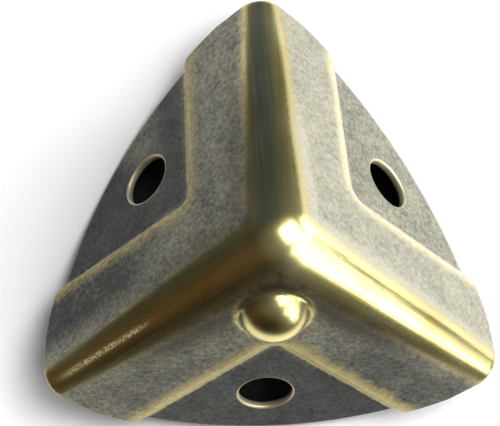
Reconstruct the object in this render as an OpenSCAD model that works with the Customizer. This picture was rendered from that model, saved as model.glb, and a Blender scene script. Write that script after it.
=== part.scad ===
// Pressed box corner bracket: one sheet drawn over a box's corner, with three arms along the
// edges, three screw flanges between them and a round stacking bump on one side.
// All sizes are in millimetres.

/* [Sheet] */
// Thickness of the sheet
sheet_t = 0.8; // [0.6:0.05:1.1]
// Inside radius of the bends between arms and flanges
bend_r = 0.6; // [0.4:0.05:1]

/* [Arms] */
// Length of an arm, from the outer corner to its free end
arm_l = 30.5; // [27:0.5:36]
// Width of the flat raised band on each side of a ridge, out to the start of its bend
band_w = 10; // [9.4:0.1:11]
// Outer radius of a ridge at its free end
ridge_end_r = 2.6; // [1.8:0.1:3.4]
// Outer radius of the ball at the top, where the ridges meet
apex_r = 4.5; // [3.8:0.1:5]

/* [Flanges] */
// How far the flanges lie below the raised bands
step_d = 0.9; // [0.5:0.05:1.3]
// Radius in plan of each flange's inner corner
corner_r = 0.8; // [0.4:0.1:2]
// How much further than the arms the round edge of the flanges reaches
rim_over = 0.6; // [0:0.1:2.5]

/* [Screw holes] */
// Diameter of each screw hole
hole_d = 5.2; // [3:0.1:5.6]
// Distance from the middle of a hole to the flange's round edge
hole_inset = 6.1; // [4.5:0.1:6.8]
// Angle by which each hole stands off the middle of its flange
hole_turn = 1.3; // [0:0.1:3]

/* [Bump] */
// Diameter of the bump over its foot fillet
bump_d = 7.2; // [5:0.1:7.4]
// Height of the bump above the raised face
bump_h = 2.3; // [1.2:0.1:2.6]
// Outer radius of the fillet around the bump's foot
bump_foot_r = 0.6; // [0.2:0.05:0.8]
// Distance of the bump's middle from the outer corner, along its face
bump_at = 10.8; // [10.6:0.1:11.2]
// Angle by which the bump stands off the middle of its face
bump_turn = 2; // [0:0.1:3]

/* [Hidden] */
$fn = 96;

// Height above a face at which a bend, fillet or ball starts, so that it crosses the face cleanly
graze = 0.015;
// Flat strips that each bend of the step is made of
bend_facets = 6;
// Distance from the outer corner to the box's corner, along each edge
box_in = step_d + sheet_t;
// Radius of the flanges' round edge about the outer corner
rim_r = arm_l + rim_over;
// Outer radius of the convex bend, and angle of the slope between the two bends
bend_out_r = bend_r + sheet_t;
slope = acos(1 - (step_d + graze) / (bend_out_r + bend_r));
// Width in plan of the step, and where the flat flange starts
step_w = (bend_out_r + bend_r) * sin(slope);
flange_at = band_w + step_w;
// Turning centre of the step around a flange's inner corner
turn_at = flange_at + corner_r;
// Fall of a ridge's radius for each millimetre along it
ridge_fall = (apex_r - ridge_end_r) / (arm_l - apex_r);
// Distance of a hole from the outer corner, along its flange
hole_at = rim_r - hole_inset;
// Radius of the ball that the bump is part of
bump_foot_at = bump_d / 2;
bump_r = (pow(bump_foot_at, 2) + pow(bump_h, 2) - 2 * bump_foot_r * bump_h) / (2 * bump_h);
// Length that reaches past the part in every direction
past = 2 * arm_l;
// Depth by which added and removed solids run into or past a face
bite = 0.3;

// Turn about the box's diagonal that carries one arm and face onto the next
module each_side(list = [0, 1, 2]) {
    for (k = list) rotate(120 * k, [1, 1, 1]) children();
}

// Half space below the plane that joins a ridge's two lines of contact with the faces
module ridge_cut(inset) {
    lean = acos(ridge_fall / sqrt(2 + pow(ridge_fall, 2)));
    foot = (apex_r * (1 + ridge_fall) + inset) / sqrt(2 + pow(ridge_fall, 2));
    rotate([0, lean, 45]) translate([-past, -past, foot - past]) cube([2 * past, 2 * past, past]);
}

// Tapered round of one ridge, along Z
module ridge_round(inset) {
    run = arm_l - apex_r;
    drop = apex_r - ridge_end_r;
    axis_l = sqrt(2 * pow(drop, 2) + pow(run, 2));
    taper = asin(drop / axis_l);
    r0 = apex_r - inset;
    from = r0 * sin(taper);
    to = axis_l + ridge_end_r + bite;
    translate([apex_r, apex_r, apex_r]) rotate([0, atan(sqrt(2) * drop / run), 225])
        translate([0, 0, from])
            cylinder(h = to - from, r1 = (r0 - from * sin(taper)) / cos(taper),
                     r2 = (r0 - to * sin(taper)) / cos(taper));
}

// Block with three rounded ridges and a round apex, its faces set in from the outer ones
module ridge_block(inset) {
    difference() {
        translate([inset, inset, inset]) cube(past);
        each_side() ridge_cut(inset);
    }
    each_side() ridge_round(inset);
    translate([apex_r, apex_r, apex_r]) sphere(apex_r + graze - inset);
}

// Section of the space above a flange: X runs out across the step, Y runs down into the sheet
module step_section(inset, reach) {
    convex = bend_out_r - inset;
    concave = bend_r + inset;
    turns = [for (i = [0:bend_facets]) slope * i / bend_facets];
    polygon(concat(
        [[0, -past]],
        [for (a = turns) [convex * sin(a), bend_out_r - graze - convex * cos(a)]],
        [for (a = turns) [step_w - concave * sin(slope - a), step_d - bend_r + concave * cos(slope - a)]],
        [[reach, step_d + inset], [reach, -past]]
    ));
}

// Space above the flange on the face across Z, bounded by the step
module flange_space(inset) {
    translate([band_w, past, 0]) rotate([90, 0, 0]) linear_extrude(past - turn_at)
        step_section(inset, past);
    translate([turn_at, band_w, 0]) rotate([0, 0, 90]) rotate([90, 0, 0]) linear_extrude(past - turn_at)
        step_section(inset, past);
    translate([turn_at, turn_at, 0]) rotate([0, 0, 180]) rotate_extrude(angle = 90)
        mirror([1, 0]) translate([-step_w - corner_r, 0]) step_section(inset, step_w + corner_r);
}

// Bump on the face across Z, as a solid set in from its outer surface
module bump(inset) {
    ball = bump_r - inset;
    foot = bump_foot_r + inset;
    meet = bump_foot_at / (bump_r + bump_foot_r);
    meet_y = bump_h - bump_r + ball * sqrt(1 - pow(meet, 2));
    rotate([0, 0, 45 + bump_turn]) translate([bump_at, 0, 0]) rotate([180, 0, 0]) rotate_extrude() {
        translate([0, bump_h - bump_r]) intersection() {
            square(bump_r);
            circle(ball);
        }
        difference() {
            translate([0, -inset - bite]) square([bump_foot_at, meet_y + inset + bite]);
            translate([bump_foot_at, bump_foot_r - graze]) circle(foot);
        }
    }
}

// Whole formed block, set in from the outer surface of the sheet
module formed_block(inset) {
    difference() {
        ridge_block(inset);
        each_side() flange_space(inset);
    }
    each_side([1]) bump(inset);
}

// Cylinder that the rim of the flange on the face across Z lies on, its seam turned clear of the part
module rim_cylinder() {
    rotate([0, 0, 225]) cylinder(h = 3 * past, r = rim_r, center = true);
}

// Outline of the cut blank: arms cut square, flanges cut to one arc on each side
module trim() {
    intersection() {
        translate([-arm_l, -arm_l, -arm_l]) cube(2 * arm_l);
        each_side([0]) rim_cylinder();
        each_side([1]) rim_cylinder();
        each_side([2]) rim_cylinder();
    }
}

// Screw hole through the flange on the face across Z
module screw_hole() {
    rotate([0, 0, 45 + hole_turn]) translate([hole_at, 0, -bite])
        cylinder(h = box_in + 2 * bite, d = hole_d);
}

// Stands the box's corner at the origin with the diagonal upright and one arm towards +Y
module stand() {
    rotate([0, 0, 210]) rotate([0, 180 - atan(sqrt(2)), 0]) rotate([0, 0, -45])
        translate([-box_in, -box_in, -box_in]) children();
}

module corner_bracket() {
    color("darkkhaki") stand() difference() {
        intersection() {
            formed_block(0);
            trim();
        }
        formed_block(sheet_t);
        each_side() screw_hole();
    }
}

corner_bracket();
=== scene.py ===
"""Box corner bracket in antique brass: its finished surface, the floor, the light and the camera."""
import math
from types import SimpleNamespace

import bpy
import numpy as np
from mathutils import Matrix, Vector
from mathutils.geometry import delaunay_2d_cdt


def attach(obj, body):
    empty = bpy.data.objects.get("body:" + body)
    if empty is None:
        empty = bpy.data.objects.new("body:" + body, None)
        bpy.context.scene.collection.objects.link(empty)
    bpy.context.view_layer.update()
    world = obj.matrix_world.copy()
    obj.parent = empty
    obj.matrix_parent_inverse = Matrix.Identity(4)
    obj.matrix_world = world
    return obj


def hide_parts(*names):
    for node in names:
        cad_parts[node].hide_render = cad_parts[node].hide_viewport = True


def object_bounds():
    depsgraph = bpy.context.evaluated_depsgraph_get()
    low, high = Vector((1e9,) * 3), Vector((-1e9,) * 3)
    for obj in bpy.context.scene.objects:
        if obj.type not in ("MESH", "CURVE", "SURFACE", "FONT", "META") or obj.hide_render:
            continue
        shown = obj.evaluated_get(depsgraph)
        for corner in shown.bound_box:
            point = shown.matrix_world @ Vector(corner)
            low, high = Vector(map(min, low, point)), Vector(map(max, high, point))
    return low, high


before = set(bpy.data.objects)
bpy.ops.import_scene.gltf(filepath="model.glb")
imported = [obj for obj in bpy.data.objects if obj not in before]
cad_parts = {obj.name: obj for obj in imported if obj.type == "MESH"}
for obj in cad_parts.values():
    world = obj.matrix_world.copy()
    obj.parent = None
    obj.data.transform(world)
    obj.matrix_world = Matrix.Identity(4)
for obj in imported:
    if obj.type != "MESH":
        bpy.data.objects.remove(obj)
cad_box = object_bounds()

# Sizes of the bracket, in metres, as in the part's source
SHEET_T = 0.0008
BEND_R = 0.0006
ARM_L = 0.0305
BAND_W = 0.010
RIDGE_END_R = 0.0026
APEX_R = 0.0045
STEP_D = 0.0009
CORNER_R = 0.0008
RIM_R = ARM_L + 0.0006
HOLE_R = 0.0026
HOLE_AT = RIM_R - 0.0061
HOLE_TURN = math.radians(1.3)
BUMP_FOOT_AT = 0.0036
BUMP_H = 0.0023
BUMP_FOOT_R = 0.0006
BUMP_AT = 0.0108
BUMP_TURN = math.radians(2.0)

# Rounding of the cut edges
EDGE_R = 0.00014
HOLE_EDGE_R = 0.00024

# Derived sizes
BOX_IN = STEP_D + SHEET_T
BEND_OUT_R = BEND_R + SHEET_T
SLOPE = math.acos(1 - STEP_D / (BEND_OUT_R + BEND_R))
STEP_W = (BEND_OUT_R + BEND_R) * math.sin(SLOPE)
TURN_AT = BAND_W + STEP_W + CORNER_R
HOLE_CUT_R = HOLE_R + HOLE_EDGE_R
RIDGE_FALL = (APEX_R - RIDGE_END_R) / (ARM_L - APEX_R)
BUMP_R = (BUMP_FOOT_AT**2 + BUMP_H**2 - 2 * BUMP_FOOT_R * BUMP_H) / (2 * BUMP_H)
BUMP_MEET = BUMP_FOOT_AT / (BUMP_R + BUMP_FOOT_R)

# Directions of the box's three edges in the part's frame: the upper, the right and the left arm
EDGES = np.array([
    [0, math.sqrt(2 / 3), -math.sqrt(1 / 3)],
    [math.sqrt(1 / 2), -math.sqrt(1 / 6), -math.sqrt(1 / 3)],
    [-math.sqrt(1 / 2), -math.sqrt(1 / 6), -math.sqrt(1 / 3)],
])
# Numbers of faces and arms. Each face lies between its own arm and the next, and the left one is last
RIGHT, FRONT = 0, 1
UP_ARM, LEFT_ARM = 0, 2

# Fineness of the mesh: points around a circle and around the bump's small top, and steps of each curve
AROUND = 72
AROUND_TOP = 24
TOP_R = 0.0009
CAP_STEPS = 16
FOOT_STEPS = 7
EDGE_STEPS = 4
# Rows of points on a ridge's round and a little past it, on the flat band, the step and the flange
ROUND_TO = APEX_R * 1.04
ROUND_ROWS = 17
BAND_ROWS = 15
STEP_ROWS = 24
FLANGE_ROWS = 42
# Gaps between the rows of points and the rim, the arms' ends, the holes and the bump
RIM_GAP = 0.0002
END_GAP = 0.0001
HOLE_GAP = 0.0007
HOLE_RING_GAP = 0.00022
BUMP_GAP = 0.0005
BUMP_RING_GAP = 0.0003
# Points closer than this are one, in the plan and on the sheet
SAME_IN_PLAN = 1e-9
WELD = 2e-7
# Triangles with less than this for twice their area are none, and shorter normals aren't divided by
NO_AREA = 1e-14
NO_LENGTH = 1e-20

# Stretches along a ridge, from the outer corner, over which the finish and its painted light and shade
# change
END_PART = (0.012, 0.024)
BRUSHED_FROM = (0.004, 0.009)
BROWN_SHADE_TO = (0.013, 0.027)
PAINTED_LIGHT_TO = (0.012, 0.022)
END_SHADE_FROM = (0.0125, 0.021)
SCUFF_FROM = (0.0160, 0.0195)
SCUFF_TO = (0.0270, 0.0300)
ROUGH_FROM = (0.018, 0.030)
GRAIN_FROM = (0.012, 0.026)

# Stretches out from a ridge, from the line where its round meets the flat band
RUBBED_FROM = -0.0026
RUBBED_TO = 0.0009
BROWN_SHADE_BESIDE = (0.0, 0.0028)
PAINTED_LIGHT_BESIDE = (0.0, 0.0018)
END_SHADE_BESIDE = (0.0, 0.003)

# Stretches into a flange, from the line where its step starts
FOLD_FROM = (-0.0020, 0.0003)
FOLD_TO = (0.0016, 0.0020)
RECESS_FROM = (0.0015, 0.0026)
RECESS_TO = (0.0040, 0.0080)
PAINTED_LIGHT_BAND_TO = (0.0, 0.0016)
FLANGE_FROM = (STEP_W - 0.0003, STEP_W + 0.0002)

# Stretches out from the bump's middle
DOME_TO = (BUMP_FOOT_AT - 0.0012, BUMP_FOOT_AT - 0.0002)
RING_TO = (BUMP_FOOT_AT - 0.0002, BUMP_FOOT_AT + 0.0006)
BUMP_BRUSHED_FROM = (BUMP_FOOT_AT, BUMP_FOOT_AT + 0.001)

# Differences u - v at a face's middle line over which one arm's finish goes over into the other's, and
# distances from the middle of a ridge over which the scuffed line fades
OVER_MIDDLE = (-0.005, 0.005)
SCUFF_W = (0.0002, 0.0007)

# Strengths on the right, front and left face, and those of painted shade towards each face's own and next
# arm's end
FOLDS_RUBBED = (0.9, 1.05, 0.75)
# Soot and patina in the step's corner and on the flange, with painted shade: little on the face the window
# lights
GRIME_AND_SHADE = (0.12, 1.0, 1.0)
# Painted brown shade beside the ridges, none on the face that the window lights
BROWN_SHADE_ON_FACES = (0.0, 1.0, 0.35)
# Painted shade towards the lower arms' ends, where the sheet mirrors the floor's shadow
END_SHADE = ((0.0, 0.0), (1.5, 0.9), (2.25, 0.0))
# Painted shade thinly all over the front face
FRONT_SHADE = 0.2
# Painted light over the band and beside the ridges of the face that the window lights, less towards the
# upper arm's end
BAND_PAINTED_LIGHT = 0.40
PAINTED_LIGHT_LOST = 0.6
RING_RUBBED = 0.55

# How far the stretch that is rubbed moves, towards the end of the upper, right and left arm
RUBBED_FROM_MOVES = np.array([0.0008, 0.0005, 0.0008])
RUBBED_TO_MOVES = np.array([0.0006, 0.0004, -0.0005])
# How much sooner the polish ends on the right face, beside its next and its own arm
POLISH_SHORT_NEXT = 0.0019
POLISH_SHORT_OWN = 0.0014

# Names of the marks that the mesh carries for the finish and for its painted light and shade
MARKS = ("wear", "polish", "bend", "recess", "tarnish", "pale", "flange", "along", "across", "brushed",
         "scuff", "inside", "cut")


def smooth(x, low, high):
    """0 below low, 1 above high, and a smooth rise between."""
    t = np.clip((x - low) / (high - low), 0, 1)
    return t * t * (3 - 2 * t)


def on_circle(distance, turn):
    """A point of a face at a distance from the outer corner, turned off the face's middle line."""
    return distance * math.cos(math.pi / 4 + turn), distance * math.sin(math.pi / 4 + turn)


def ridge_radius(along):
    return APEX_R - RIDGE_FALL * np.maximum(along - APEX_R, 0)


def into_flange(u, v):
    """Distance past the line where the step down to the flange starts."""
    around = CORNER_R + STEP_W - np.hypot(TURN_AT - u, TURN_AT - v)
    straight = np.minimum(u, v) - BAND_W
    return np.where((u < TURN_AT) & (v < TURN_AT), around, straight)


def out_of_hole(u, v):
    """Distance from the screw hole's middle."""
    hole = on_circle(HOLE_AT, HOLE_TURN)
    return np.hypot(u - hole[0], v - hole[1])


def out_of_bump(u, v):
    """Distance from the bump's middle."""
    bump = on_circle(BUMP_AT, BUMP_TURN)
    return np.hypot(u - bump[0], v - bump[1])


def step_drop(d):
    """How far the surface lies below the raised band."""
    convex = BEND_OUT_R - np.sqrt(np.maximum(BEND_OUT_R**2 - np.clip(d, 0, BEND_OUT_R) ** 2, 0))
    rest = np.clip(STEP_W - d, 0, BEND_R)
    concave = STEP_D - BEND_R + np.sqrt(BEND_R**2 - rest**2)
    return np.where(d < BEND_OUT_R * math.sin(SLOPE), convex, concave)


def bump_height(r):
    """Height of the bump over its face, at a distance from its middle."""
    cap = BUMP_H - BUMP_R + np.sqrt(np.maximum(BUMP_R**2 - r**2, 0))
    rest = np.clip(BUMP_FOOT_AT - r, 0, BUMP_FOOT_R)
    foot = BUMP_FOOT_R - np.sqrt(BUMP_FOOT_R**2 - rest**2)
    return np.where(r < BUMP_R * BUMP_MEET, cap, foot)


def stations():
    """Distances from a ridge at which the face has rows of points: close where it bends."""
    stretches = [(0, ROUND_TO, ROUND_ROWS), (ROUND_TO, BAND_W, BAND_ROWS), (BAND_W, TURN_AT, STEP_ROWS),
                 (TURN_AT, ARM_L - EDGE_R, FLANGE_ROWS)]
    rows = [np.linspace(low, high, count, endpoint=False) for low, high, count in stretches]
    return np.append(np.concatenate(rows), ARM_L - EDGE_R)


def circle(middle, radius, count):
    turns = np.linspace(0, 2 * math.pi, count, endpoint=False)
    return np.column_stack([middle[0] + radius * np.cos(turns), middle[1] + radius * np.sin(turns)])


def outline(rows):
    """Closed outline of one face: two ridges, two arm ends and the flange's arc between them."""
    rim = RIM_R - EDGE_R
    end = rows[-1]
    meet = math.sqrt(rim**2 - end**2)
    middle = rim / math.sqrt(2)
    half = [(math.sqrt(rim**2 - s**2), s) for s in rows if meet + RIM_GAP < s < middle - RIM_GAP]
    cut_end = [(end, s) for s in rows[1:] if s < meet - END_GAP]
    arm = [(s, 0.0) for s in rows] + cut_end + [(end, meet)] + half
    back = [(v, u) for u, v in reversed(arm[1:])]
    return np.array(arm + [(middle, middle)] + back)


def bump_rings():
    """Radii of the rings of points over the bump, even in the surface's slope."""
    steep = math.asin(BUMP_MEET)
    cap = [BUMP_R * math.sin(steep * k / CAP_STEPS) for k in range(1, CAP_STEPS + 1)]
    foot = [BUMP_FOOT_AT - BUMP_FOOT_R * math.sin(steep * k / FOOT_STEPS)
            for k in reversed(range(FOOT_STEPS))]
    return cap + foot + [BUMP_FOOT_AT + BUMP_RING_GAP]


def rings(bumped):
    """Rings of points around the hole, and over the bump where there is one."""
    hole = on_circle(HOLE_AT, HOLE_TURN)
    made = [circle(hole, HOLE_CUT_R + HOLE_RING_GAP * k, AROUND) for k in (1, 2)]
    if bumped:
        bump = on_circle(BUMP_AT, BUMP_TURN)
        made += [circle(bump, r, AROUND_TOP if r < TOP_R else AROUND) for r in bump_rings()]
        made += [np.array([bump])]
    return made


def crossings(rows, bumped):
    """Points where the rows of the two arms cross, clear of the rim, the hole and the bump."""
    u, v = (g.ravel() for g in np.meshgrid(rows, rows))
    keep = (u > 0) & (v > 0) & (u < rows[-1]) & (v < rows[-1])
    keep &= np.hypot(u, v) < RIM_R - EDGE_R - RIM_GAP
    keep &= out_of_hole(u, v) > HOLE_CUT_R + HOLE_GAP
    if bumped:
        keep &= out_of_bump(u, v) > BUMP_FOOT_AT + BUMP_GAP
    return np.column_stack([u[keep], v[keep]])


def face_plan(bumped):
    """Points and triangles of one face, laid out flat."""
    rows = stations()
    loops = [outline(rows), circle(on_circle(HOLE_AT, HOLE_TURN), HOLE_CUT_R, AROUND)]
    points = np.concatenate(loops + rings(bumped) + [crossings(rows, bumped)])
    edges, start = [], 0
    for loop in loops:
        count = len(loop)
        edges += [(start + i, start + (i + 1) % count) for i in range(count)]
        start += count
    made = delaunay_2d_cdt([Vector(p) for p in points], edges, [], 0, SAME_IN_PLAN)
    flat = np.array([tuple(p) for p in made[0]])
    tris = np.array([f for f in made[2]])
    return flat, facing_out(flat, clear_of_hole(flat, tris))


def clear_of_hole(flat, tris):
    """The triangles that don't lie in the hole."""
    middle = flat[tris].mean(axis=1)
    return tris[out_of_hole(middle[:, 0], middle[:, 1]) > HOLE_CUT_R * math.cos(math.pi / AROUND)]


def facing_out(flat, tris):
    """The triangles that have an area, run clockwise, because a face looks out against its depth."""
    a, b, c = (flat[tris[:, k]] for k in range(3))
    turned = (b[:, 0] - a[:, 0]) * (c[:, 1] - a[:, 1]) - (b[:, 1] - a[:, 1]) * (c[:, 0] - a[:, 0])
    tris = tris[np.abs(turned) > NO_AREA]
    turned = turned[np.abs(turned) > NO_AREA]
    tris[turned > 0] = tris[turned > 0][:, ::-1]
    return tris


def formed(flat, face):
    """Where the flat points lie on the pressed sheet's outer surface."""
    u, v = flat[:, 0], flat[:, 1]
    r = ridge_radius(np.maximum(u, v))
    middle = np.column_stack([np.maximum(u, r), np.maximum(v, r), r])
    out = np.column_stack([u, v, np.zeros(len(u))]) - middle
    out /= np.linalg.norm(out, axis=1)[:, None]
    rise = -step_drop(into_flange(u, v))
    if face == FRONT:
        rise = rise + bump_height(out_of_bump(u, v))
    return middle + out * r[:, None] + out * rise[:, None]


def whereabouts(flat, face):
    """Distances and arms of the flat points, by which the finish is marked."""
    u, v = flat[:, 0], flat[:, 1]
    along = np.maximum(u, v)
    return SimpleNamespace(
        along=along,
        across=np.where(u > v, v, -u),
        out=np.minimum(u, v) - ridge_radius(along),
        into=into_flange(u, v),
        bump=out_of_bump(u, v),
        arm=np.where(u > v, face, (face + 1) % 3),
        own_arm=smooth(u - v, *OVER_MIDDLE),
    )


def rubbed_mark(at, face, shortening):
    """The ridges, the dome and its ring are rubbed. Beside a ridge that ends sooner by the shortening."""
    towards_end = smooth(at.along, *END_PART)
    rubbed_from = RUBBED_FROM + towards_end * RUBBED_FROM_MOVES[at.arm]
    rubbed_to = RUBBED_TO + towards_end * RUBBED_TO_MOVES[at.arm]
    ridge = 1 - smooth(at.out, rubbed_from, rubbed_to - shortening)
    if face != FRONT:
        return ridge
    dome = 1 - smooth(at.bump, *DOME_TO)
    ring = RING_RUBBED - RING_RUBBED * smooth(at.bump, *RING_TO)
    return np.maximum(ridge, np.maximum(dome, ring))


def polish_shortening(at, face):
    """The polished look ends sooner than the rubbed colour on the face that the window lights."""
    return (POLISH_SHORT_NEXT - (POLISH_SHORT_NEXT - POLISH_SHORT_OWN) * at.own_arm) * (face == RIGHT)


def fold_mark(at, face):
    """The folds of the step are rubbed less than the ridges."""
    return smooth(at.into, *FOLD_FROM) * (1 - smooth(at.into, *FOLD_TO)) * FOLDS_RUBBED[face]


def soot_and_shade_mark(at, face):
    """Soot and painted shade in the step's corner, and painted shade at the lower arms' ends and on the
    front.
    """
    corner = smooth(at.into, *RECESS_FROM) * (1 - smooth(at.into, *RECESS_TO)) * GRIME_AND_SHADE[face]
    shade_own, shade_next = END_SHADE[face]
    ends = smooth(at.along, *END_SHADE_FROM) * smooth(at.out, *END_SHADE_BESIDE)
    ends = ends * (shade_next + (shade_own - shade_next) * at.own_arm)
    return np.maximum(corner, np.maximum(ends, FRONT_SHADE * (face == FRONT)))


def brown_shade_mark(at, face):
    """Painted brown shade beside the ridges near the apex, on the faces away from the window."""
    return (1 - smooth(at.out, *BROWN_SHADE_BESIDE)) * (1 - smooth(at.along, *BROWN_SHADE_TO)) * BROWN_SHADE_ON_FACES[face]


def painted_light_mark(at, face):
    """Painted light on the face that the window lights: paler beside its ridges, on its folds and over its
    band.
    """
    if face != RIGHT:
        return np.zeros(len(at.along))
    lost = PAINTED_LIGHT_LOST * smooth(at.along, *PAINTED_LIGHT_TO) * (at.arm == UP_ARM)
    pale = np.maximum((1 - smooth(at.out, *PAINTED_LIGHT_BESIDE)) * (1 - lost), fold_mark(at, face))
    return np.maximum(pale, BAND_PAINTED_LIGHT - BAND_PAINTED_LIGHT * smooth(at.into, *PAINTED_LIGHT_BAND_TO))


def brushed_mark(at, face):
    """The polish is brushed along the ridges, but not at the apex nor on the bump."""
    brushed = smooth(at.along, *BRUSHED_FROM)
    if face == FRONT:
        brushed = brushed * smooth(at.bump, *BUMP_BRUSHED_FROM)
    return brushed


def scuff_mark(at):
    """One scuffed line runs down the middle of the left arm's ridge."""
    scuff = smooth(at.along, *SCUFF_FROM) * (1 - smooth(at.along, *SCUFF_TO)) * (at.arm == LEFT_ARM)
    return scuff * (1 - smooth(np.abs(at.across), *SCUFF_W))


def finish_marks(flat, face):
    """How the finish is marked at the flat points, by the marks' names."""
    at = whereabouts(flat, face)
    return {
        "wear": rubbed_mark(at, face, 0.0),
        "polish": rubbed_mark(at, face, polish_shortening(at, face)),
        "bend": fold_mark(at, face),
        "recess": soot_and_shade_mark(at, face),
        "tarnish": brown_shade_mark(at, face),
        "pale": painted_light_mark(at, face),
        # The flange's darkening is patina with painted shade, little of it on the face the window lights
        "flange": smooth(at.into, *FLANGE_FROM) * GRIME_AND_SHADE[face],
        "along": at.along,
        "across": at.across,
        "brushed": brushed_mark(at, face),
        "scuff": scuff_mark(at),
    }


def to_part(local, face):
    """From a face's own axes to the part's frame."""
    axes = np.array([EDGES[face], EDGES[(face + 1) % 3], EDGES[(face + 2) % 3]])
    return (local - BOX_IN) @ axes


def outer_sheet():
    """The outer surface, welded along the ridges, as its points, triangles, normals and marks."""
    plans = {bumped: face_plan(bumped) for bumped in (False, True)}
    points, tris, marks, start = [], [], {}, 0
    for face in range(3):
        flat, faces = plans[face == FRONT]
        points.append(to_part(formed(flat, face), face))
        tris.append(faces + start)
        start += len(flat)
        for name, values in finish_marks(flat, face).items():
            marks.setdefault(name, []).append(values)
    points, tris = np.concatenate(points), np.concatenate(tris)
    marks = {name: np.concatenate(values) for name, values in marks.items()}
    keys = np.round(points / WELD).astype(np.int64)
    _, first, same = np.unique(keys, axis=0, return_index=True, return_inverse=True)
    points, tris = points[first], same.ravel()[tris]
    marks = {name: values[first] for name, values in marks.items()}
    tris = tris[(tris[:, 0] != tris[:, 1]) & (tris[:, 1] != tris[:, 2]) & (tris[:, 2] != tris[:, 0])]
    return points, tris, point_normals(points, tris), marks


def point_normals(points, tris):
    """Normals weighted by the angle that each triangle has at the point."""
    corners = points[tris]
    facing = np.cross(corners[:, 1] - corners[:, 0], corners[:, 2] - corners[:, 0])
    facing /= np.maximum(np.linalg.norm(facing, axis=1), NO_LENGTH)[:, None]
    normals = np.zeros_like(points)
    for k in range(3):
        one = corners[:, (k + 1) % 3] - corners[:, k]
        other = corners[:, (k + 2) % 3] - corners[:, k]
        cosine = (one * other).sum(axis=1) / (np.linalg.norm(one, axis=1) * np.linalg.norm(other, axis=1))
        np.add.at(normals, tris[:, k], facing * np.arccos(np.clip(cosine, -1, 1))[:, None])
    return normals / np.linalg.norm(normals, axis=1)[:, None]


def free_loops(tris):
    """The sheet's free edges as loops of points, in the direction that its triangles run."""
    sides = np.concatenate([tris[:, [0, 1]], tris[:, [1, 2]], tris[:, [2, 0]]])
    taken = {(int(a), int(b)) for a, b in sides}
    after = {a: b for a, b in taken if (b, a) not in taken}
    loops = []
    while after:
        loop = [next(iter(sorted(after)))]
        while loop[-1] in after:
            loop.append(after.pop(loop[-1]))
        loops.append(np.array(loop[:-1]))
    return loops


def edge_profile(radius):
    """Section of a cut edge between the two surfaces, as (outward, down) pairs."""
    turns = [math.pi / 2 * k / EDGE_STEPS for k in range(1, EDGE_STEPS + 1)]
    top = [(radius * math.sin(a), radius * (1 - math.cos(a))) for a in turns]
    return top + [(out, SHEET_T - down) for out, down in reversed(top)]


def mark_ring(marks, loop, down):
    """Marks one ring of a cut edge, which is bare and pale and otherwise finished as beside it."""
    for name, values in marks.items():
        if name == "inside":
            values.append(np.full(len(loop), down / SHEET_T))
        elif name in ("cut", "pale"):
            values.append(np.ones(len(loop)))
        else:
            values.append(values[0][loop])


def sheet_mesh():
    """The whole sheet: outer surface, inner surface and rounded cut edges."""
    outer, tris, normals, marks = outer_sheet()
    count = len(outer)
    points = [outer, outer - normals * SHEET_T]
    faces = [tuple(t) for t in tris] + [tuple(t[::-1] + count) for t in tris]
    marks = {name: [values, values] for name, values in marks.items()}
    marks["inside"] = [np.zeros(count), np.ones(count)]
    marks["cut"] = [np.zeros(count), np.zeros(count)]
    start = 2 * count
    for loop in free_loops(tris):
        # The outer edge has many more points than a circle
        is_hole = len(loop) <= AROUND
        here, up = outer[loop], normals[loop]
        run = np.roll(here, -1, axis=0) - np.roll(here, 1, axis=0)
        away = np.cross(run, up)
        away /= np.linalg.norm(away, axis=1)[:, None]
        profile = edge_profile(HOLE_EDGE_R if is_hole else EDGE_R)
        ring = [loop]
        for out, down in profile:
            points.append(here + away * out - up * down)
            ring.append(np.arange(start, start + len(loop)))
            start += len(loop)
            mark_ring(marks, loop, down)
        ring.append(loop + count)
        for near, far in zip(ring[:-1], ring[1:]):
            after_near, after_far = np.roll(near, -1), np.roll(far, -1)
            faces += list(zip(near, far, after_far, after_near))
    return np.concatenate(points), faces, {name: np.concatenate(values) for name, values in marks.items()}


def build_bracket():
    points, faces, marks = sheet_mesh()
    mesh = bpy.data.meshes.new("bracket_sheet")
    mesh.from_pydata(points.tolist(), [], [[int(i) for i in f] for f in faces])
    mesh.validate()
    mesh.polygons.foreach_set("use_smooth", [True] * len(mesh.polygons))
    for name, values in marks.items():
        layer = mesh.attributes.new(name, "FLOAT", "POINT")
        layer.data.foreach_set("value", values.astype(np.float32))
    mesh.update()
    bracket = bpy.data.objects.new("bracket_sheet", mesh)
    bpy.context.scene.collection.objects.link(bracket)
    return bracket


# Colours of the finish, and of painted light and shade
DARK_PATINA = (0.130, 0.129, 0.103, 1)
PALE_PATINA = (0.405, 0.396, 0.300, 1)
# Soot with painted shade, for the step's corner, the flange, the front and the lower arms' ends, and for
# the inside
DARK_SOOT_AND_SHADE = (0.036, 0.038, 0.037, 1)
PALE_SOOT_AND_SHADE = (0.096, 0.099, 0.093, 1)
# Painted brown shade beside the ridges near the apex
PAINTED_BROWN_SHADE = (0.085, 0.072, 0.045, 1)
STAIN = (0.400, 0.335, 0.150, 1)
# Pale stain of bare cut edges, and painted light on the face that the window lights
PALE_STAIN_AND_PAINTED_LIGHT = (0.680, 0.645, 0.520, 1)
DEEP_BRASS = (0.640, 0.550, 0.200, 1)
PALE_BRASS = (0.900, 0.820, 0.400, 1)

# Scales of the finish's patterns, from the finest to the broadest
FLECK_SCALE = 8500.0
GRAIN_SCALE = 6000.0
SPECK_SCALE = 2300.0
TINT_SCALE = 480.0
CLOUD_SCALE = 420.0
WAVE_SCALE = 200.0
DRIFT_SCALE = 130.0
# Scales of the streaks, long along the ridge and fine across it
STREAK_ALONG = 70.0
STREAK_ACROSS = 2600.0
# Depths of the finish's grain and of the sheet's waves
GRAIN_DEPTH = 0.00002
WAVE_DEPTH = 0.00006


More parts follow.
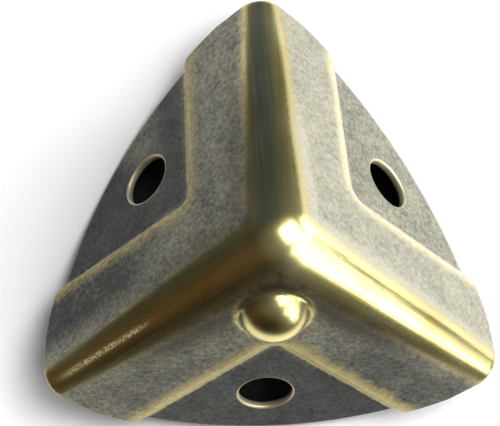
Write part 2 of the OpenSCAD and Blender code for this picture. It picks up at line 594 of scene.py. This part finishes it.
class Nodes:
    """Short helpers to write a node tree from left to right."""

    def __init__(self, tree):
        self.tree = tree
        self.tree.nodes.clear()

    def feed(self, socket, value):
        if isinstance(value, bpy.types.NodeSocket):
            self.tree.links.new(value, socket)
        else:
            socket.default_value = value

    def add(self, kind, inputs=None, **settings):
        node = self.tree.nodes.new(kind)
        for name, value in settings.items():
            setattr(node, name, value)
        for name, value in (inputs or {}).items():
            self.feed(node.inputs[name], value)
        return node

    def math(self, operation, a, b=0.0, c=0.0):
        node = self.add("ShaderNodeMath", operation=operation)
        for socket, value in zip(node.inputs, (a, b, c)):
            self.feed(socket, value)
        return node.outputs[0]

    def ramp(self, value, low, high, to_low=0.0, to_high=1.0):
        node = self.add("ShaderNodeMapRange", {"Value": value, "From Min": low, "From Max": high,
                                               "To Min": to_low, "To Max": to_high})
        return node.outputs[0]

    def vary(self, value, pattern, amount):
        """The value, moved up and down by a pattern that runs from 0 to 1."""
        return self.math("MULTIPLY_ADD", self.math("SUBTRACT", pattern, 0.5), amount, value)

    def mark(self, name):
        return self.add("ShaderNodeAttribute", attribute_name=name).outputs["Fac"]

    def noise(self, place, scale, detail=2.0, rough=0.5):
        node = self.add("ShaderNodeTexNoise", {"Vector": place, "Scale": scale, "Detail": detail,
                                               "Roughness": rough})
        return node.outputs["Fac"]

    def mix(self, fac, a, b, blend="MIX"):
        node = self.add("ShaderNodeMix", data_type="RGBA", blend_type=blend)
        for socket, value in ((node.inputs[0], fac), (node.inputs[6], a), (node.inputs[7], b)):
            self.feed(socket, value)
        return node.outputs[2]

    def show(self, shader, kind):
        """Sends a shader to the output of a material or a world."""
        self.feed(self.add(kind).inputs["Surface"], shader)


def new_nodes(owner):
    """Empty node tree of a new material or world."""
    owner.use_nodes = True
    return Nodes(owner.node_tree)


def finish_patterns(n, marks):
    """Speckle of three sizes, tints, drift of tone, waves, loose flecks and the polish's streaks."""
    place = n.add("ShaderNodeTexCoord").outputs["Object"]
    tints = n.add("ShaderNodeTexNoise", {"Vector": place, "Scale": TINT_SCALE, "Detail": 1.5})
    along = n.math("MULTIPLY", marks.along, STREAK_ALONG)
    across = n.math("MULTIPLY", marks.across, STREAK_ACROSS)
    flow = n.add("ShaderNodeCombineXYZ", {"X": along, "Y": across}).outputs[0]
    streak = n.math("SUBTRACT", n.noise(flow, 1.0, 3.0, 0.6), 0.5)
    return SimpleNamespace(
        grain=n.noise(place, GRAIN_SCALE, 2.0, 0.6),
        speck=n.noise(place, SPECK_SCALE, 3.0, 0.6),
        cloud=n.noise(place, CLOUD_SCALE, 3.0, 0.55),
        drift=n.noise(place, DRIFT_SCALE, 2.0, 0.5),
        wave=n.noise(place, WAVE_SCALE, 2.0, 0.4),
        flecks=n.ramp(n.noise(place, FLECK_SCALE, 1.0, 0.5), 0.44, 0.58),
        tints=tints.outputs["Color"],
        streak=n.math("MULTIPLY", streak, marks.brushed),
    )


def finish_rubbing(n, marks, patterns):
    """How far the patina is rubbed to a stain and to bright brass, how far polished and scratched."""
    rubbed = n.math("MAXIMUM", marks.wear, n.math("MULTIPLY", marks.bend, 0.60))
    rubbed = n.math("MAXIMUM", rubbed, n.math("MULTIPLY", marks.cut, 0.75))
    rubbed = n.math("MAXIMUM", rubbed, n.ramp(marks.flange, 0.0, 1.0, 0.10, 0.0))
    # What is rubbed is broken up where it fades out, and the inside isn't rubbed
    broken = n.vary(rubbed, patterns.speck, 0.55)
    broken = n.vary(broken, patterns.cloud, 0.35)
    broken = n.math("MULTIPLY", broken, n.ramp(marks.inside, 0.0, 1.0, 1.0, 0.0))
    polished = n.ramp(n.vary(marks.polish, patterns.speck, 0.20), 0.02, 0.55)
    bright = n.math("MULTIPLY", n.ramp(broken, 0.40, 0.95), n.ramp(polished, 0.0, 1.0, 0.65, 1.0))
    return SimpleNamespace(
        stained=n.ramp(broken, 0.15, 0.55),
        bright=bright,
        polished=polished,
        scratched=n.math("MULTIPLY", marks.scuff, patterns.flecks),
    )


def patina_colour(n, marks, patterns, mottle):
    """Mottled patina, with soot and painted shade, painted light, paler cut edges and painted brown shade.
    """
    paleness = n.ramp(mottle, 0.26, 0.76)
    patina = n.mix(paleness, DARK_PATINA, PALE_PATINA)
    patina = n.mix(0.14, patina, patterns.tints, "SOFT_LIGHT")
    soot = n.mix(paleness, DARK_SOOT_AND_SHADE, PALE_SOOT_AND_SHADE)
    # Soot and painted shade darken the flange, the step's corner, the front and the lower arms' ends; the
    # inside is darker too
    darkened = n.math("MULTIPLY_ADD", marks.flange, 0.50, n.math("MULTIPLY", marks.recess, 0.44))
    darkened = n.math("MAXIMUM", darkened, n.math("MULTIPLY", marks.inside, 0.60))
    patina = n.mix(darkened, patina, soot)
    # Painted light pales the patina on the face that the window lights; bare cut edges are paler too
    patina = n.mix(n.math("MULTIPLY", marks.pale, 0.45), patina, PALE_STAIN_AND_PAINTED_LIGHT)
    return n.mix(n.math("MULTIPLY", marks.tarnish, 0.85), patina, PAINTED_BROWN_SHADE)


def finish_colour(n, marks, patterns, rubbing, patina):
    """The patina, with the stain, the painted brown shade, the bright brass and its scratches over it."""
    edges = n.math("MAXIMUM", marks.bend, n.math("MULTIPLY", marks.cut, 0.6))
    # Painted light pales the stain on the face that the window lights; bare cut edges are paler too
    paleness = n.math("MULTIPLY", marks.pale, n.ramp(edges, 0.0, 1.0, 0.15, 1.0))
    stain = n.mix(paleness, STAIN, PALE_STAIN_AND_PAINTED_LIGHT)
    tone = n.ramp(n.math("MULTIPLY_ADD", patterns.streak, 0.6, patterns.drift), 0.3, 0.7)
    brass = n.mix(tone, DEEP_BRASS, PALE_BRASS)
    colour = n.mix(rubbing.stained, patina, stain)
    # Painted brown shade
    colour = n.mix(n.math("MULTIPLY", marks.tarnish, 0.6), colour, PAINTED_BROWN_SHADE)
    colour = n.mix(rubbing.bright, colour, brass)
    return n.mix(rubbing.scratched, colour, PALE_BRASS)


def finish_roughness(n, marks, patterns, rubbing, mottle):
    """Satin patina and smoother brass, a little rougher at the apex, the bump and the arms' ends."""
    satin = n.ramp(mottle, 0.2, 0.85, 0.56, 0.48)
    gloss = n.ramp(patterns.streak, -0.25, 0.25, 0.165, 0.25)
    gloss = n.math("ADD", gloss, n.ramp(marks.brushed, 0.0, 1.0, 0.05, 0.0))
    gloss = n.math("ADD", gloss, n.ramp(marks.along, *ROUGH_FROM, 0.0, 0.04))
    rubbed = n.math("MULTIPLY", rubbing.bright, n.ramp(marks.cut, 0.0, 1.0, 0.6, 0.3))
    rough = n.add("ShaderNodeMix", data_type="FLOAT")
    for socket, value in ((0, n.math("MAXIMUM", rubbing.polished, rubbed)), (2, satin), (3, gloss)):
        n.feed(rough.inputs[socket], value)
    return rough.outputs[0]


def finish_relief(n, marks, patterns, rubbing):
    """Normal of the surface, with the grain, smoothed where it is polished, and the sheet's waves."""
    height = n.math("MULTIPLY_ADD", patterns.grain, 0.4, n.math("MULTIPLY", patterns.speck, 0.6))
    polished_height = n.ramp(marks.along, *GRAIN_FROM, 0.25, 0.7)
    height = n.math("MULTIPLY", height, n.ramp(rubbing.polished, 0.0, 1.0, 1.0, polished_height))
    height = n.math("MULTIPLY_ADD", patterns.streak, n.math("MULTIPLY", rubbing.bright, 0.15), height)
    small = n.add("ShaderNodeBump", {"Strength": 0.35, "Distance": GRAIN_DEPTH, "Height": height})
    large = n.add("ShaderNodeBump", {"Strength": 0.5, "Distance": WAVE_DEPTH, "Height": patterns.wave,
                                     "Normal": small.outputs[0]})
    return large.outputs[0]


def antique_brass():
    """Brass rubbed bright on what stands proud, under a dark speckled patina elsewhere."""
    material = bpy.data.materials.new("antique_brass")
    n = new_nodes(material)
    marks = SimpleNamespace(**{name: n.mark(name) for name in MARKS})
    patterns = finish_patterns(n, marks)
    rubbing = finish_rubbing(n, marks, patterns)
    mottle = n.vary(n.vary(patterns.speck, patterns.grain, 0.5), patterns.cloud, 0.5)
    patina = patina_colour(n, marks, patterns, mottle)
    unscratched = n.math("SUBTRACT", 1.0, rubbing.scratched)
    shader = n.add("ShaderNodeBsdfPrincipled", {
        "Base Color": finish_colour(n, marks, patterns, rubbing, patina),
        "Metallic": n.math("MULTIPLY", n.ramp(rubbing.bright, 0.0, 1.0, 0.8, 1.0), unscratched),
        "Roughness": finish_roughness(n, marks, patterns, rubbing, mottle),
        "Normal": finish_relief(n, marks, patterns, rubbing),
    })
    n.show(shader.outputs[0], "ShaderNodeOutputMaterial")
    return material


# The floor: how far off things enclose it, where its painted pool of light fades to grey, and its colours
ENCLOSED_WITHIN = 0.03
PAINTED_POOL_FADES = (0.045, 0.100)
FLOOR_WHITE = (0.86, 0.863, 0.87, 1)
FLOOR_PAINTED_DIM = (0.08, 0.08, 0.08, 1)
FLOOR_PAINTED_SHADOW = (0.012, 0.012, 0.012, 1)
FLOOR_REACH = 6.0


def white_floor():
    """Table top that keeps the shadows, with a painted pool of light, grey further off, and painted shadow
    where enclosed.
    """
    material = bpy.data.materials.new("white_floor")
    n = new_nodes(material)
    openness = n.add("ShaderNodeAmbientOcclusion", {"Distance": ENCLOSED_WITHIN}, samples=8).outputs["AO"]
    place = n.add("ShaderNodeTexCoord").outputs["Object"]
    away = n.add("ShaderNodeVectorMath", {"Vector": place}, operation="LENGTH").outputs["Value"]
    # A painted pool of light: white near the bracket, grey further off
    top = n.mix(n.ramp(away, *PAINTED_POOL_FADES), FLOOR_WHITE, FLOOR_PAINTED_DIM)
    # Painted shadow where the bracket encloses the floor
    colour = n.mix(n.ramp(openness, 0.22, 0.74), FLOOR_PAINTED_SHADOW, top)
    # The floor is seen lighter than the light that it casts, except where enclosed and further off, which
    # paints shade there
    path = n.add("ShaderNodeLightPath").outputs
    seen = n.math("MAXIMUM", path["Is Camera Ray"], path["Is Glossy Ray"])
    seen = n.math("MAXIMUM", seen, path["Is Transmission Ray"])
    lift = n.math("MULTIPLY", seen, n.ramp(openness, 0.70, 1.0, 0.0, 0.40))
    lift = n.math("MULTIPLY", lift, n.ramp(away, *PAINTED_POOL_FADES, 1.0, 0.0))
    matt = n.add("ShaderNodeBsdfDiffuse", {"Color": colour})
    glow = n.add("ShaderNodeEmission", {"Color": (1, 1, 1, 1), "Strength": lift})
    both = n.add("ShaderNodeAddShader")
    n.feed(both.inputs[0], matt.outputs[0])
    n.feed(both.inputs[1], glow.outputs[0])
    n.show(both.outputs[0], "ShaderNodeOutputMaterial")
    return material


def build_floor(height):
    corners = [(-1, -1), (1, -1), (1, 1), (-1, 1)]
    mesh = bpy.data.meshes.new("floor")
    mesh.from_pydata([(x * FLOOR_REACH, y * FLOOR_REACH, height) for x, y in corners], [], [(0, 1, 2, 3)])
    floor = bpy.data.objects.new("floor", mesh)
    floor.data.materials.append(white_floor())
    bpy.context.scene.collection.objects.link(floor)


# Middle of the bracket's height, which the lights face
LIT_AT = Vector((0, 0, -0.012))


def soft_light(name, azimuth, elevation, wide, tall, brightness):
    """A soft box one metre away, at angles in degrees, that covers angles in degrees."""
    turn, rise = math.radians(azimuth), math.radians(elevation)
    towards = Vector((math.cos(turn) * math.cos(rise), math.sin(turn) * math.cos(rise), math.sin(rise)))
    lamp = bpy.data.lights.new(name, "AREA")
    lamp.shape = "RECTANGLE"
    lamp.size = 2 * math.tan(math.radians(wide / 2))
    lamp.size_y = 2 * math.tan(math.radians(tall / 2))
    lamp.energy = brightness * math.pi * lamp.size * lamp.size_y
    light = bpy.data.objects.new(name, lamp)
    light.location = towards + LIT_AT
    light.rotation_euler = towards.to_track_quat("Z", "Y").to_euler()
    bpy.context.scene.collection.objects.link(light)


def build_lights():
    """Window light from the right: a bright strip low behind, its broad part, a side and a high part."""
    soft_light("window_low", azimuth=26, elevation=11, wide=24, tall=12, brightness=22.0)
    soft_light("window", azimuth=-12, elevation=33, wide=46, tall=46, brightness=2.8)
    soft_light("window_side", azimuth=-35, elevation=13, wide=16, tall=26, brightness=2.2)
    soft_light("window_high", azimuth=36, elevation=57, wide=34, tall=38, brightness=6.0)


# Colours of the room from its front to its back, of its ceiling and of the window's side
ROOM_FRONT = (0.023, 0.019, 0.015, 1)
ROOM_BROWN = (0.094, 0.058, 0.036, 1)
ROOM_MIDDLE = (0.036, 0.035, 0.031, 1)
ROOM_BACK = (0.056, 0.080, 0.150, 1)
ROOM_CEILING = (0.15, 0.15, 0.15, 1)
ROOM_WINDOW_SIDE = (0.21, 0.21, 0.21, 1)


def build_world():
    """A dim room: brown towards the front, blue-grey behind the upper arm, lighter on the window's side."""
    world = bpy.data.worlds.new("room")
    bpy.context.scene.world = world
    n = new_nodes(world)
    towards = n.add("ShaderNodeTexCoord").outputs["Generated"]
    way = n.add("ShaderNodeSeparateXYZ", {"Vector": towards}).outputs
    colour = n.mix(n.ramp(way["Y"], -0.90, -0.45), ROOM_FRONT, ROOM_BROWN)
    colour = n.mix(n.ramp(way["Y"], -0.30, 0.20), colour, ROOM_MIDDLE)
    colour = n.mix(n.ramp(way["Y"], 0.50, 0.95), colour, ROOM_BACK)
    colour = n.mix(n.ramp(way["Z"], 0.60, 1.0), colour, ROOM_CEILING)
    colour = n.mix(n.ramp(way["X"], 0.0, 0.8), colour, ROOM_WINDOW_SIDE)
    back = n.add("ShaderNodeBackground", {"Color": colour, "Strength": 1.0})
    n.show(back.outputs[0], "ShaderNodeOutputWorld")


# The photograph's viewpoint
CAMERA_AT = Vector((-0.00854, -0.00710, 0.10550))
CAMERA_LOOKS_AT = Vector((-0.00187, 0.00326, -0.01200))
CAMERA_UP = Vector((0.0262, 0.9957, 0.0892))
SENSOR_MM = 36.0
LENS_MM = 91.64


def build_camera():
    """Looks almost straight down on the apex, as the photograph does."""
    back = (CAMERA_AT - CAMERA_LOOKS_AT).normalized()
    right = CAMERA_UP.cross(back).normalized()
    lens = bpy.data.cameras.new("camera")
    lens.sensor_width = SENSOR_MM
    lens.lens = LENS_MM
    lens.clip_start = 0.005
    lens.clip_end = 50.0
    camera = bpy.data.objects.new("camera", lens)
    camera.matrix_world = Matrix((right, back.cross(right), back)).transposed().to_4x4()
    camera.matrix_world.translation = CAMERA_AT
    bpy.context.scene.collection.objects.link(camera)
    bpy.context.scene.camera = camera


build_camera()
bracket = build_bracket()
bracket.data.materials.append(antique_brass())
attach(bracket, "root")
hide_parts("corner_bracket")
build_floor(cad_box[0][2])
build_lights()
build_world()
bpy.context.scene.view_settings.view_transform = "Standard"
